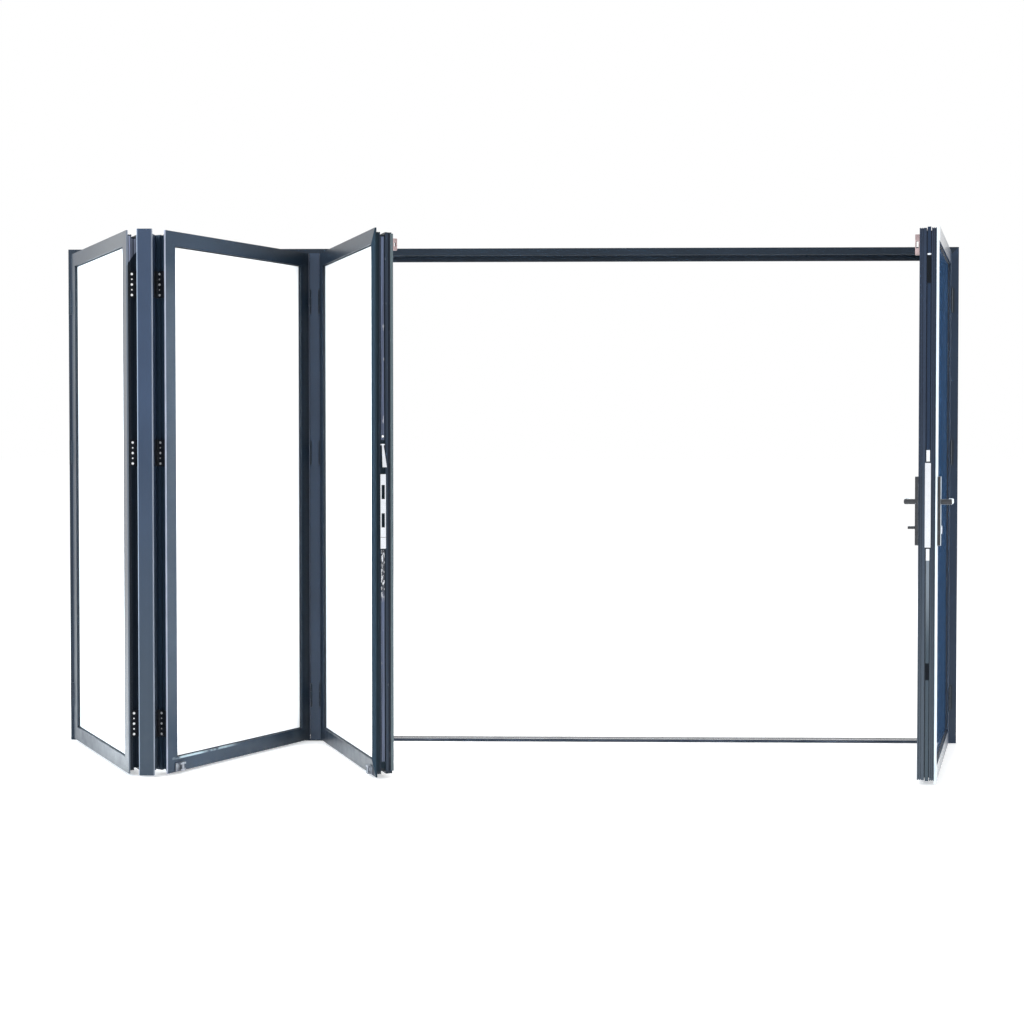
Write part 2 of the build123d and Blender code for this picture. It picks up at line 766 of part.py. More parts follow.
with BuildPart() as fold_bolt_rods:
    for low, high in ((fold_rod_low, strike_low - rod_margin), (finger_pivot + finger_rod_gap, fold_rod_high)):
        with BuildSketch(leaf_3.offset(low)):
            half = rod_width / 2
            rect(meeting_floor, meeting_floor + rod_thickness, groove_middle - half, groove_middle + half)
        extrude(amount=high - low)
save(fold_bolt_rods, "fold_bolt_rods")

pivot_reach = meeting_floor + groove_depth / 2
pivot = leaf_3.from_local_coords((pivot_reach, groove_middle, finger_pivot))
tilt = math.radians(finger_angle)
finger_face = Plane(
    origin=pivot,
    x_dir=leaf_3.y_dir,
    z_dir=leaf_3.x_dir * math.cos(tilt) + leaf_3.z_dir * math.sin(tilt),
)
pivot_view = Plane(origin=pivot, x_dir=leaf_3.x_dir, z_dir=leaf_3.y_dir)
with BuildPart() as bolt_finger:
    with BuildSketch(finger_face):
        root = finger_root / 2
        tip = finger_tip / 2
        Polygon((-root, 0), (root, 0), (tip, -finger_length), (-tip, -finger_length), align=None)
    extrude(amount=finger_thickness / 2, both=True)
    with BuildSketch(pivot_view):
        Circle(finger_barrel)
    extrude(amount=finger_barrel_length / 2, both=True)
    with BuildSketch(pivot_view):
        Circle(finger_pin)
    extrude(amount=groove_width / 2 - seat_gap, both=True)
save(bolt_finger, "bolt_finger")


# Snap catches, buffers
def catch(leaf, x, side):
    """Snap catch on a bottom rail: base plate, two cheeks and an upright roller between them."""
    view = Plane(origin=leaf.origin, x_dir=leaf.x_dir, z_dir=leaf.y_dir * -1)
    middle = x + side * catch_cheek_shift
    with BuildSketch(view.offset(seat_gap)) as section:
        with Locations((x, catch_level)):
            Rectangle(catch_width, catch_height)
    extrude(section.sketch, amount=catch_base)
    with BuildSketch(view.offset(seat_gap)) as section:
        with Locations((middle, catch_level)):
            with GridLocations(1, catch_height - catch_cheek_thickness, 1, 2):
                Rectangle(catch_cheek_width, catch_cheek_thickness)
    extrude(section.sketch, amount=catch_reach)
    roller_low = catch_level - (catch_height - catch_cheek_thickness) / 2
    with BuildSketch(leaf.offset(roller_low)) as section:
        with Locations((middle, -seat_gap - catch_reach + catch_roller_radius)):
            RegularPolygon(catch_roller_radius, catch_roller_facets)
    extrude(section.sketch, amount=catch_height - catch_cheek_thickness)


with BuildPart() as stack_catches:
    catch(leaf_2, catch_inset, 1)
    catch(leaf_3, fold_leaf - catch_inset, -1)
save(stack_catches, "stack_catches")


def buffer(node, leaf, x, back_face, level, height):
    """Soft hollow block on the inside face of a leaf near its top, open along the leaf."""
    across = Plane(origin=leaf.origin, x_dir=leaf.y_dir, z_dir=leaf.x_dir)
    middle = back_face + seat_gap + buffer_depth / 2
    with BuildPart() as piece:
        with BuildSketch(across.offset(x - buffer_width / 2)):
            with Locations((middle, level)):
                Rectangle(buffer_depth, height)
                Rectangle(buffer_depth - 2 * buffer_wall, height * buffer_open, mode=Mode.SUBTRACT)
        extrude(amount=buffer_width)
    save(piece, node)


third_back = leaf_depth + meeting_flange
third_x = fold_leaf - buffer_inset
buffer("leaf_3_buffer", leaf_3, third_x, third_back, third_buffer_level, third_buffer_height)
buffer("leaf_4_buffer", leaf_4, buffer_inset, leaf_depth, access_buffer_level, access_buffer_height)
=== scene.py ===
import math

import bpy
from mathutils import Matrix, Vector


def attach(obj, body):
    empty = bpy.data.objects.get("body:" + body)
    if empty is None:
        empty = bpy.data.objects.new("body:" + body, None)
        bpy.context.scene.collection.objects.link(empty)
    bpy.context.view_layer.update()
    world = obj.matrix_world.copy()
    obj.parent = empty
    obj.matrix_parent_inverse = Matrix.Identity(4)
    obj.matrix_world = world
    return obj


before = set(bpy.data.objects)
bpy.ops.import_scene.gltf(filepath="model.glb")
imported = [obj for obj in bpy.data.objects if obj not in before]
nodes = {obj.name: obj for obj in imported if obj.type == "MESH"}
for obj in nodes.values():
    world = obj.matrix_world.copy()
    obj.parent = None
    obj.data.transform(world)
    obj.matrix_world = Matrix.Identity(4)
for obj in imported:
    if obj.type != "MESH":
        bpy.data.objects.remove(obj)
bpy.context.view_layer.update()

# Outer frame: a head and two jambs, extruded aluminium in satin anthracite powder coat.
# The bars are mitred and cleated together at the top corners, then screwed into the wall.


class Value:
    """A shader socket that takes part in sums like a number, on either side of the sign."""

    def __init__(self, tree, socket):
        self.tree = tree
        self.socket = socket

    def sum(self, operation, first, second):
        return self.tree.node("ShaderNodeMath", {"operation": operation}, {0: first, 1: second})

    def __add__(self, other):
        return self.sum("ADD", self, other)

    def __radd__(self, other):
        return self.sum("ADD", other, self)

    def __sub__(self, other):
        return self.sum("SUBTRACT", self, other)

    def __rsub__(self, other):
        return self.sum("SUBTRACT", other, self)

    def __mul__(self, other):
        return self.sum("MULTIPLY", self, other)

    def __rmul__(self, other):
        return self.sum("MULTIPLY", other, self)

    def step(self, low, high):
        """Rises smoothly from 0 to 1 between two values."""
        return self.tree.node(
            "ShaderNodeMapRange",
            {"interpolation_type": "SMOOTHSTEP"},
            {"Value": self, "From Min": low, "From Max": high},
        )

    def band(self, start, full, fade, end):
        """Rises from 0 to 1 between the first two values and falls back between the last two."""
        return self.step(start, full) * (1.0 - self.step(fade, end))


class Nodes:
    """A node tree with one method that makes a node from its type, settings and inputs."""

    def __init__(self, tree):
        self.tree = tree
        tree.nodes.clear()

    def node(self, kind, settings=None, inputs=None, output=0):
        made = self.tree.nodes.new(kind)
        for name, setting in (settings or {}).items():
            setattr(made, name, setting)
        for key, value in (inputs or {}).items():
            for each in value if isinstance(value, list) else [value]:
                if isinstance(each, Value):
                    self.tree.links.new(each.socket, made.inputs[key])
                else:
                    made.inputs[key].default_value = each
        return Value(self, made.outputs[output]) if made.outputs else made

    def noise(self, place, scale, detail=2.0):
        """Cloudy value between 0 and 1, with a scale in lumps a metre."""
        inputs = {"Vector": place, "Scale": scale, "Detail": detail}
        return self.node("ShaderNodeTexNoise", {}, inputs, "Fac")

    def stretch(self, place, factors):
        """Place multiplied axis by axis, so that a pattern runs along one of them."""
        return self.node("ShaderNodeVectorMath", {"operation": "MULTIPLY"}, {0: place, 1: factors})

    def mix(self, share, first, second):
        """Colour between two others."""
        return self.node("ShaderNodeMix", {"data_type": "RGBA"}, {0: share, 6: first, 7: second}, 2)

    def bump(self, height, depth):
        """Normal of a surface with a relief of the given depth in metres."""
        return self.node("ShaderNodeBump", {}, {"Height": height, "Distance": depth, "Strength": 1.0})


def finish(name):
    """New material and its node tree, with the place on the object in metres."""
    material = bpy.data.materials.new(name)
    material.use_nodes = True
    shader = Nodes(material.node_tree)
    return material, shader, shader.node("ShaderNodeTexCoord", output="Object")


pale_sheen_tone = (0.82, 0.92, 1.0, 1.0)
grazing = (0.70, 0.86)


def surface(shader, inputs, sheen=None):
    """Close a material with its surface shader, with a painted pale sheen at grazing angles where asked."""
    skin = shader.node("ShaderNodeBsdfPrincipled", {}, inputs)
    if sheen is not None:
        facing = shader.node("ShaderNodeLayerWeight", {}, {"Blend": 0.5}, "Facing")
        # Pale diffuse layer blended in at grazing angles: a painted sheen.
        sheen_layer = shader.node("ShaderNodeBsdfDiffuse", {}, {"Color": pale_sheen_tone})
        skin = shader.node("ShaderNodeMixShader", {}, {0: facing.step(*grazing) * sheen, 1: skin, 2: sheen_layer})
    shader.node("ShaderNodeOutputMaterial", {}, {"Surface": skin})


def paint(material, *names):
    """Give parts of the frame their material."""
    for name in names:
        nodes[name].data.materials.clear()
        nodes[name].data.materials.append(material)


def shade(colour, factor):
    """Lighter or darker colour of the same hue."""
    return tuple(part * factor for part in colour[:3]) + (1.0,)


def measured(shader, place, plan, axis):
    """Distance in metres along one axis of a piece's own frame."""
    way = plan.to_3x3() @ Vector(axis)
    reach = shader.node("ShaderNodeVectorMath", {"operation": "DOT_PRODUCT"}, {0: place, 1: way}, "Value")
    return reach - plan.translation.dot(way)


road_dust = (0.075, 0.088, 0.105, 1.0)
dust_top = 0.5
foot_fade = (0.1, 1.5)
peel_scale = 520.0
peel_depth = 0.00004
coat_shine = 0.24
coat_haze = 0.12
tone_run = (0.1, 0.97)
line_fade = 0.001
rail_top = (0.053, 0.056, 0.062, 0.064)
glint_run = (0.02, 0.05, 0.28, 0.42)
face_skin = (0.0002, 0.0010)
sheen_fade = (0.06, 0.12)


def powder_coat(name, colour, gloss, bar=None, foot=None):
    """Satin powder coat: fine orange peel, faint clouds, pale dust low down.

    A bar adds a painted shading and a polish that change along it, edges painted pale as a highlight, and
    where asked a painted glint and a painted sheen.
    """
    material, shader, place = finish(name)
    clouds = shader.noise(place, 2.4, 4.0)
    peel = shader.noise(place, peel_scale)
    height = shader.node("ShaderNodeSeparateXYZ", {}, {0: place}, "Z")
    low_dust = (1.0 - height.step(0.0, dust_top)) * shader.noise(place, 16.0, 5.0).step(0.38, 0.75)
    tone = shader.mix(clouds.step(0.25, 0.8), colour, shade(colour, 1.35))
    if foot:
        tone = shader.mix(height.step(*foot_fade), foot, tone)
    polished = 0.0
    sheen = None
    if bar:
        length = bar["length"]
        run = measured(shader, place, bar["plan"], (1.0, 0.0, 0.0))
        depth = measured(shader, place, bar["plan"], (0.0, 1.0, 0.0))
        # The tone that changes along the bar is painted light and shade.
        along = run.step(tone_run[0] * length, tone_run[1] * length)
        tone = shader.mix(along, tone, bar.get("end_painted_shading", tone))
        patchy = 0.55 + shader.noise(place, 9.0, 3.0) * 0.7
        # Pale lines at the bar's ends near its face: painted highlights.
        line = (1.0 - run.step(0.0, bar["line_width"])) + run.step(length - bar["line_width"], length)
        line = line * (1.0 - depth.step(bar["line_depth"], bar["line_depth"] + line_fade))
        tone = shader.mix(line * patchy, tone, bar["line_tone"])
        if "rail_glint" in bar:
            broken = shader.noise(place, 14.0, 2.0).step(0.38, 0.55)
            lit = height.band(*rail_top) * run.band(*glint_run) * broken
            tone = shader.mix(lit, tone, bar["rail_glint"])
        front = 1.0 - depth.step(*face_skin)
        polished = front * (bar["polish"] + along * (bar["end_polish"] - bar["polish"]))
        if "sheen" in bar:
            sheen = front * (1.0 - run.step(*sheen_fade)) * bar["sheen"]
    surface(shader, {
        "Base Color": shader.mix(low_dust * 0.18, tone, road_dust),
        "Roughness": gloss + peel * 0.10 + low_dust * 0.14,
        "Specular IOR Level": coat_shine,
        "Coat Weight": polished,
        "Coat Roughness": coat_haze,
        "Normal": shader.bump(peel, peel_depth),
    }, sheen)
    return material


anthracite = (0.0095, 0.0175, 0.0290, 1.0)
# The right jamb gets a lighter, bluer copy of the frame's coat: painted light.
right_jamb_lit_tone = (0.0170, 0.0310, 0.0580, 1.0)
satin = 0.24
paint(powder_coat("anthracite_coat", anthracite, satin), "head", "left_jamb")
paint(powder_coat("right_jamb_coat", right_jamb_lit_tone, satin), "right_jamb")

# Sill: a low threshold with a guide groove, coated like the frame. The clear film that guards
# it on site is still on, so it shines in long wavy streaks.


film_tint = (0.72, 0.90, 1.0, 1.0)
wrinkle_depth = 0.0016


def filmed_coat(name, colour, along):
    """Coat under wrinkled clear film, with the wrinkles drawn out along one direction and the coat painted
    lighter along them as a highlight.
    """
    material, shader, place = finish(name)
    run = shader.stretch(place, along)
    wrinkles = shader.noise(run, 1.0, 3.0)
    fine = shader.noise(run, 4.0, 2.0)
    # Lighter along the wrinkles: a painted highlight.
    tone = shader.mix(wrinkles.step(0.3, 0.7), colour, shade(colour, 1.6))
    surface(shader, {
        "Base Color": tone,
        "Roughness": 0.06 + fine * 0.12,
        "Specular IOR Level": 0.25,
        "Specular Tint": film_tint,
        "Coat Weight": wrinkles.step(0.35, 0.6) * 0.45,
        "Coat Roughness": 0.05,
        "Normal": shader.bump(wrinkles + fine * 0.3, wrinkle_depth),
    })
    return material


sill_tone = (0.014, 0.021, 0.036, 1.0)
along_sill = (7.0, 90.0, 90.0)
paint(filmed_coat("filmed_sill", sill_tone, along_sill), "sill")

# Leaf profiles: lipped and grooved bars of coated aluminium, mitred at the corners and crimped
# over cleats. Along the lip's edges the coat is painted paler, a painted highlight.


def leaf_frame(pin, local, degrees):
    """Frame of a leaf turned about a pin: X along it, Y from its face to its back, Z up."""
    turn = Matrix.Rotation(math.radians(degrees), 4, "Z")
    return Matrix.Translation(Vector((pin[0], pin[1], 0.0))) @ turn @ Matrix.Translation(
        Vector((-local[0], -local[1], 0.0))
    )


jamb_pin_x = 1.7855
pin_line_y = -0.044
pin_beyond_lip = 0.0065
back_pin_inset = 0.01275
back_pin_depth = 0.051
fold_length = 0.850
access_pin_x = 1.7685
access_length = 0.897
outer_pins_apart = 0.0655
inner_pins_apart = 0.037
fold_angle = 61.0
third_angle = 68.7
access_angle = 74.0
leaf_1 = leaf_frame((-jamb_pin_x, pin_line_y), (-pin_beyond_lip, 0.0), -fold_angle)
outer_pin = leaf_1 @ Vector((fold_length - back_pin_inset, back_pin_depth, 0.0))
second_pin = (outer_pin.x + outer_pins_apart, outer_pin.y)
leaf_2 = leaf_frame(second_pin, (back_pin_inset, back_pin_depth), fold_angle)
inner_pin = leaf_2 @ Vector((fold_length + pin_beyond_lip, 0.0, 0.0))
third_pin = (inner_pin.x + inner_pins_apart, inner_pin.y)
leaf_3 = leaf_frame(third_pin, (-pin_beyond_lip, 0.0), -third_angle)
leaf_4 = leaf_frame((access_pin_x, pin_line_y), (access_length + pin_beyond_lip, 0.0), access_angle)
fixed_body = "frame_and_folding_leaves"
access_body = "access_leaf"
leaves = {
    1: (leaf_1, fold_length, fixed_body),
    2: (leaf_2, fold_length, fixed_body),
    3: (leaf_3, fold_length, fixed_body),
    4: (leaf_4, access_length, access_body),
}
# Pale edge tones: painted highlights along the lips.
edge_highlight = (0.150, 0.180, 0.220, 1.0)
bright_edge = (0.400, 0.430, 0.530, 1.0)
shining_edge = (0.800, 0.920, 1.000, 1.0)
# Each leaf's tone and the tone it turns to along its length are painted light and shade on one coat; leaf 4
# also gets a painted sheen.
leaf_coat_and_painted_light = {
    1: dict(colour=(0.0085, 0.0155, 0.0250, 1.0), end_painted_shading=(0.0130, 0.0230, 0.0330, 1.0),
            line_tone=edge_highlight, polish=0.12, end_polish=0.60),
    2: dict(colour=(0.0220, 0.0400, 0.0680, 1.0), end_painted_shading=(0.0065, 0.0125, 0.0210, 1.0),
            line_tone=bright_edge, rail_glint=(0.420, 0.540, 0.600, 1.0),
            polish=0.10, end_polish=0.05),
    3: dict(colour=(0.0075, 0.0135, 0.0220, 1.0), end_painted_shading=(0.0120, 0.0210, 0.0320, 1.0),
            line_tone=edge_highlight, polish=0.05, end_polish=0.18),
    4: dict(colour=(0.0165, 0.0270, 0.0500, 1.0), end_painted_shading=(0.0190, 0.0340, 0.0620, 1.0),
            foot=(0.0640, 0.0840, 0.1080, 1.0), line_tone=shining_edge,
            polish=0.7, end_polish=0.1, sheen=0.45),
}
edge_highlight_width = 0.003
edge_highlight_depth = 0.020
bars = ("left_stile", "right_stile", "top_rail", "bottom_rail")
for number, (plan, length, body) in leaves.items():
    look = leaf_coat_and_painted_light[number]
    face_bar = dict(look, plan=plan, length=length, line_width=edge_highlight_width, line_depth=edge_highlight_depth)
    coat = powder_coat(f"leaf_{number}_coat", look["colour"], satin, face_bar, look.get("foot"))
    paint(coat, *[f"leaf_{number}_{bar}" for bar in bars])


half_rib = 0.0055
rib_flank = (0.0010, 0.0045)
lit_above = (1.846, 1.851)
shadow_slope = 1.3
end_start = 0.030
end_full = 0.022
lip_edge_width = 0.004


def ribbed_end(name, colour, rib_tone, plan, length):
    """Coat of a stile whose grooved end catches the light in thin ribs near the top."""
    material, shader, place = finish(name)
    run = measured(shader, place, plan, (1.0, 0.0, 0.0))
    depth = measured(shader, place, plan, (0.0, 1.0, 0.0))
    height = shader.node("ShaderNodeSeparateXYZ", {}, {0: place}, "Z")
    peel = shader.noise(place, peel_scale)
    wave = shader.node("ShaderNodeMath", {"operation": "PINGPONG"}, {0: depth, 1: half_rib})
    ribs = 0.25 + wave.step(*rib_flank) * 0.75
    front = 1.0 - depth.step(*face_skin)
    high_up = 0.03 + (height - depth * shadow_slope).step(*lit_above) * 0.97
    end_face = run.step(length - end_start, length - end_full) * (1.0 - front)
    lip_line = run.step(length - lip_edge_width, length)
    tone = shader.mix(end_face * ribs * high_up, colour, rib_tone)
    # Pale line at the lip's edge: a painted highlight.
    tone = shader.mix(lip_line * 0.8, tone, edge_highlight)
    surface(shader, {
        "Base Color": tone,
        "Roughness": satin + peel * 0.10,
        "Specular IOR Level": coat_shine,
        "Coat Weight": 0.6 * front,
        "Coat Roughness": coat_haze,
        "Normal": shader.bump(peel, peel_depth),
    })
    return material


lit_rib = (0.560, 0.620, 0.800, 1.0)
hinge_end = ribbed_end("leaf_1_hinge_end", anthracite, lit_rib, leaf_1, fold_length)
paint(hinge_end, "leaf_1_right_stile")

# Sealed glass units: two panes of float glass with a black spacer bar between them along the rim,
# set on the rebate of each leaf. The panes of the folding leaves still carry a pale guard film,
# and on the bare ones of the access leaf a dark blue is painted at a glancing angle as a reflection.


clear_white = (1.0, 1.0, 1.0, 1.0)
faint_green = (0.985, 0.995, 0.99, 1.0)
thin_pane = 1.01
glancing = (0.78, 0.95)


def clear_glass(name, film_and_reflection_tone, glow, gloss, veil, glancing_reflection):
    """Float glass with a share of a flat tone, the guard film where there is one, and a further share of it
    at glancing angles, a painted reflection on the bare glass; the film glows faintly, painted light.

    The light passes it on its way to the floor.
    """
    material, shader, place = finish(name)
    smear = shader.noise(place, 3.0, 3.0)
    pane = shader.node("ShaderNodeBsdfPrincipled", {}, {
        "Base Color": shader.mix(smear, clear_white, faint_green),
        "Roughness": 0.0,
        "IOR": thin_pane,
        "Transmission Weight": 1.0,
        "Coat Weight": gloss - smear * 0.05,
        "Coat Roughness": 0.0,
    })
    film = shader.node("ShaderNodeBsdfPrincipled", {}, {
        "Base Color": shader.mix(smear, film_and_reflection_tone, shade(film_and_reflection_tone, 0.97)),
        "Roughness": 0.5,
        "Specular IOR Level": 0.0,
        "Emission Color": film_and_reflection_tone,
        "Emission Strength": glow,
    })
    facing = shader.node("ShaderNodeLayerWeight", {}, {"Blend": 0.5}, "Facing")
    share = veil + facing.step(*glancing) * glancing_reflection
    covered = shader.node("ShaderNodeMixShader", {}, {0: share, 1: pane, 2: film})
    clear = shader.node("ShaderNodeBsdfTransparent")
    shadow = shader.node("ShaderNodeLightPath", output="Is Shadow Ray")
    both = shader.node("ShaderNodeMixShader", {}, {0: shadow, 1: covered, 2: clear})
    shader.node("ShaderNodeOutputMaterial", {}, {"Surface": both})
    return material


guard_film = (0.95, 0.95, 0.95, 1.0)
filmed_glass = clear_glass("filmed_glass", guard_film, glow=0.35, gloss=0.2, veil=0.40, glancing_reflection=0.0)
paint(filmed_glass, "leaf_1_glass", "leaf_2_glass", "leaf_3_glass")
# Dark blue at glancing angles on the bare glass: a painted reflection.
deep_blue = (0.019, 0.050, 0.112, 1.0)
bare_glass = clear_glass("bare_glass", deep_blue, glow=0.0, gloss=0.45, veil=0.0, glancing_reflection=0.5)
paint(bare_glass, "leaf_4_glass")

lip_low = 0.008
lip_high = 1.979


def rim(corners, plan, length):
    """Closed bar round a leaf, from section corners as reach from the lip edge and depth."""
    points = []
    faces = []
    for reach, depth in corners:
        for x, z in (
            (reach, lip_low + reach),
            (length - reach, lip_low + reach),
            (length - reach, lip_high - reach),
            (reach, lip_high - reach),
        ):
            points.append(plan @ Vector((x, depth, z)))
    count = len(corners)
    for row in range(count):
        below = (row + 1) % count
        for side in range(4):
            beside = (side + 1) % 4
            faces.append((row * 4 + side, row * 4 + beside, below * 4 + beside, below * 4 + side))
    return points, faces


def trim(name, shapes, material, body):
    """One finished piece from several shapes, with its faces turned outwards."""
    points = []
    faces = []
    for shape_points, shape_faces in shapes:
        start = len(points)
        points += shape_points
        faces += [[start + corner for corner in face] for face in shape_faces]
    mesh = bpy.data.meshes.new(name)
    mesh.from_pydata(points, [], faces)
    piece = bpy.data.objects.new(name, mesh)
    bpy.context.scene.collection.objects.link(piece)
    bpy.context.view_layer.objects.active = piece
    bpy.ops.object.select_all(action="DESELECT")
    piece.select_set(True)
    bpy.ops.object.mode_set(mode="EDIT")
    bpy.ops.mesh.select_all(action="SELECT")
    bpy.ops.mesh.normals_make_consistent(inside=False)
    bpy.ops.object.mode_set(mode="OBJECT")
    mesh.materials.append(material)
    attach(piece, body)
    return piece


def rubber(name, tone, roughness):
    """Black rubber or plastic with a dull, slightly dusty skin."""
    material, shader, place = finish(name)
    patches = shader.noise(place, 40.0, 3.0)
    grain = shader.noise(place, 900.0)
    surface(shader, {
        "Base Color": shader.mix(patches.step(0.35, 0.75), tone, shade(tone, 1.8)),
        "Roughness": roughness + grain * 0.15,
        "Specular IOR Level": 0.3,
        "Normal": shader.bump(grain, 0.00003),
    })
    return material


rubber_tone = (0.007, 0.010, 0.015, 1.0)
black_rubber = rubber("black_rubber", rubber_tone, 0.55)
spacer_section = ((0.0370, 0.0145), (0.0500, 0.0145), (0.0515, 0.0165), (0.0515, 0.0335),
                  (0.0500, 0.0355), (0.0370, 0.0355))
for number, (plan, length, body) in leaves.items():
    trim(f"leaf_{number}_spacer", [rim(spacer_section, plan, length)], black_rubber, body)

# Glazing beads: coated aluminium strips that clip in from the inside and press the glass unit
# against the front leg. A thin black rubber gasket seals each side of the glass.
bead_tone = (0.0105, 0.0190, 0.0310, 1.0)
bead_coat = powder_coat("bead_coat", bead_tone, 0.28)
front_gasket = ((0.0532, 0.0060), (0.0555, 0.0065), (0.0565, 0.0085), (0.0565, 0.01025),
                (0.0532, 0.01025))
back_gasket = ((0.0532, 0.03975), (0.0565, 0.03975), (0.0565, 0.0415), (0.0555, 0.0435),
               (0.0532, 0.0440))
for number, (plan, length, body) in leaves.items():
    paint(bead_coat, f"leaf_{number}_beads")
    shapes = [rim(front_gasket, plan, length), rim(back_gasket, plan, length)]
    trim(f"leaf_{number}_gaskets", shapes, black_rubber, body)

# Mullions: the outer one joins the first two leaves, the inner one hangs in the track. Both are
# coated extrusions with a flat face strip, painted paler along its bevels as a highlight.
mullion_tone = (0.0270, 0.0440, 0.0800, 1.0)
cover_width = 0.0570
cover_front = min(corner.co.y for corner in nodes["outer_mullion"].data.vertices)
cover_corner = Vector((outer_pin.x + (outer_pins_apart - cover_width) / 2, cover_front, 0.0))
cover_edge_highlight = (0.300, 0.340, 0.410, 1.0)
cover_bar = dict(plan=Matrix.Translation(cover_corner), length=cover_width,
                 line_width=0.005, line_depth=0.007, line_tone=cover_edge_highlight,
                 polish=0.0, end_polish=0.0)
mullion_foot = (0.0400, 0.0560, 0.0780, 1.0)
dull_satin = 0.26
outer_coat = powder_coat("outer_mullion_coat", mullion_tone, dull_satin, cover_bar, mullion_foot)
paint(outer_coat, "outer_mullion")
inner_tone = (0.0280, 0.0440, 0.0740, 1.0)
paint(powder_coat("inner_mullion_coat", inner_tone, dull_satin), "inner_mullion")

# Hinges: cast plates with knuckles on steel pins, at three heights, black at the outer mullion
# and in the colour of the frame elsewhere. A column of five screws holds each plate.


deep_black = (0.006, 0.008, 0.013, 1.0)
worn_black = (0.017, 0.021, 0.030, 1.0)


def cast_black(name, polish):
    """Black coated casting with a fine grain, polished or not; the polish also paints a pale sheen at
    grazing angles.
    """
    material, shader, place = finish(name)
    grain = shader.noise(place, 700.0)
    worn = shader.noise(place, 55.0, 4.0)
    surface(shader, {
        "Base Color": shader.mix(worn.step(0.45, 0.8), deep_black, worn_black),
        "Roughness": 0.30 + grain * 0.18,
        "Specular IOR Level": 0.34,
        "Coat Weight": polish,
        "Coat Roughness": 0.15,
        "Normal": shader.bump(grain, 0.00004),
    }, polish)
    return material


def bright_metal(name, colour, brush, roughness, metallic=1.0, glint=0.0):
    """Bare or plated metal, brushed along one direction."""
    material, shader, place = finish(name)
    lines = shader.noise(shader.stretch(place, brush), 1.0, 4.0)
    stain = shader.noise(place, 60.0, 3.0)
    dull = shade(colour, 0.72)
    surface(shader, {
        "Base Color": shader.mix(lines * 0.6 + stain * 0.4, colour, dull),
        "Metallic": metallic,
        "Roughness": roughness + lines * 0.14,
        "Emission Color": colour,
        "Emission Strength": glint,
        "Normal": shader.bump(lines, 0.00003),
    })
    return material


paint(cast_black("black_casting", 0.0), "outer_mullion_hinges")
hinge_tone = (0.0115, 0.0195, 0.0300, 1.0)
hinge_coat = powder_coat("hinge_coat", hinge_tone, dull_satin)
paint(hinge_coat, "left_jamb_hinges", "right_jamb_hinges", "access_leaf_hinges", "inner_mullion_hinges")
bright_tone = (0.95, 0.96, 0.97, 1.0)
dim_tone = (0.60, 0.62, 0.66, 1.0)
fine_brush = (300.0, 300.0, 40.0)
steel = bright_metal("bright_steel", bright_tone, fine_brush, 0.20, metallic=0.35, glint=0.45)
dim_steel = bright_metal("dim_steel", dim_tone, fine_brush, 0.30, metallic=0.35, glint=0.10)


head_sides = 20
top_share = 0.72
slot_reach = 1.15
slot_width = 0.28
slot_lift = 0.95


def screw_tree():
    """Cross-slotted screw heads on points: each point has a facing direction and a size."""
    tree = bpy.data.node_groups.new("screw_rows", "GeometryNodeTree")
    spots = tree.interface.new_socket("Points", in_out="INPUT", socket_type="NodeSocketGeometry")
    radius = tree.interface.new_socket("Head radius", in_out="INPUT", socket_type="NodeSocketFloat")
    height = tree.interface.new_socket("Head height", in_out="INPUT", socket_type="NodeSocketFloat")
    seed = tree.interface.new_socket("Seed", in_out="INPUT", socket_type="NodeSocketInt")
    metal = tree.interface.new_socket("Metal", in_out="INPUT", socket_type="NodeSocketMaterial")
    tree.interface.new_socket("Screws", in_out="OUTPUT", socket_type="NodeSocketGeometry")
    made = Nodes(tree)
    given = made.node("NodeGroupInput").socket.node
    asked = {
        socket.name: Value(made, given.outputs[socket.name])
        for socket in (spots, radius, height, seed, metal)
    }
    head = made.node("GeometryNodeMeshCone", {}, {
        "Vertices": head_sides,
        "Radius Top": asked["Head radius"] * top_share,
        "Radius Bottom": asked["Head radius"],
        "Depth": asked["Head height"],
    })
    slot_size = made.node("ShaderNodeCombineXYZ", {}, {
        0: asked["Head radius"] * slot_reach,
        1: asked["Head radius"] * slot_width,
        2: asked["Head height"],
    })
    slot = made.node("GeometryNodeMeshCube", {}, {"Size": slot_size})
    lift = made.node("ShaderNodeCombineXYZ", {}, {2: asked["Head height"] * slot_lift})
    first = made.node("GeometryNodeTransform", {}, {"Geometry": slot, "Translation": lift})
    second = made.node("GeometryNodeTransform", {}, {
        "Geometry": slot, "Translation": lift, "Rotation": (0.0, 0.0, math.pi / 2),
    })
    cut = made.node("GeometryNodeMeshBoolean", {"operation": "DIFFERENCE"}, {0: head, 1: [first, second]})
    points = made.node("GeometryNodeMeshToPoints", {}, {"Mesh": asked["Points"]})
    facing = made.node("GeometryNodeInputNamedAttribute", {"data_type": "FLOAT_VECTOR"}, {"Name": "facing"})
    size = made.node("GeometryNodeInputNamedAttribute", {"data_type": "FLOAT"}, {"Name": "size"})
    upright = made.node("FunctionNodeAlignRotationToVector", {"axis": "Z"}, {"Vector": facing})
    placed = made.node("GeometryNodeInstanceOnPoints", {}, {
        "Points": points, "Instance": cut, "Rotation": upright, "Scale": size,
    })
    turn = made.node("FunctionNodeRandomValue", {"data_type": "FLOAT"}, {
        2: 0.0, 3: math.pi, "Seed": asked["Seed"],
    }, 1)
    spin = made.node("ShaderNodeCombineXYZ", {}, {2: turn})
    driven = made.node("GeometryNodeRotateInstances", {}, {"Instances": placed, "Rotation": spin})
    solid = made.node("GeometryNodeRealizeInstances", {}, {"Geometry": driven})
    plated = made.node("GeometryNodeSetMaterial", {}, {"Geometry": solid, "Material": asked["Metal"]})
    made.node("NodeGroupOutput", {}, {0: plated})
    return tree, {socket.name: socket.identifier for socket in (radius, height, seed, metal)}


screws, screw_inputs = screw_tree()
head_radius = 0.0046
head_height = 0.0016


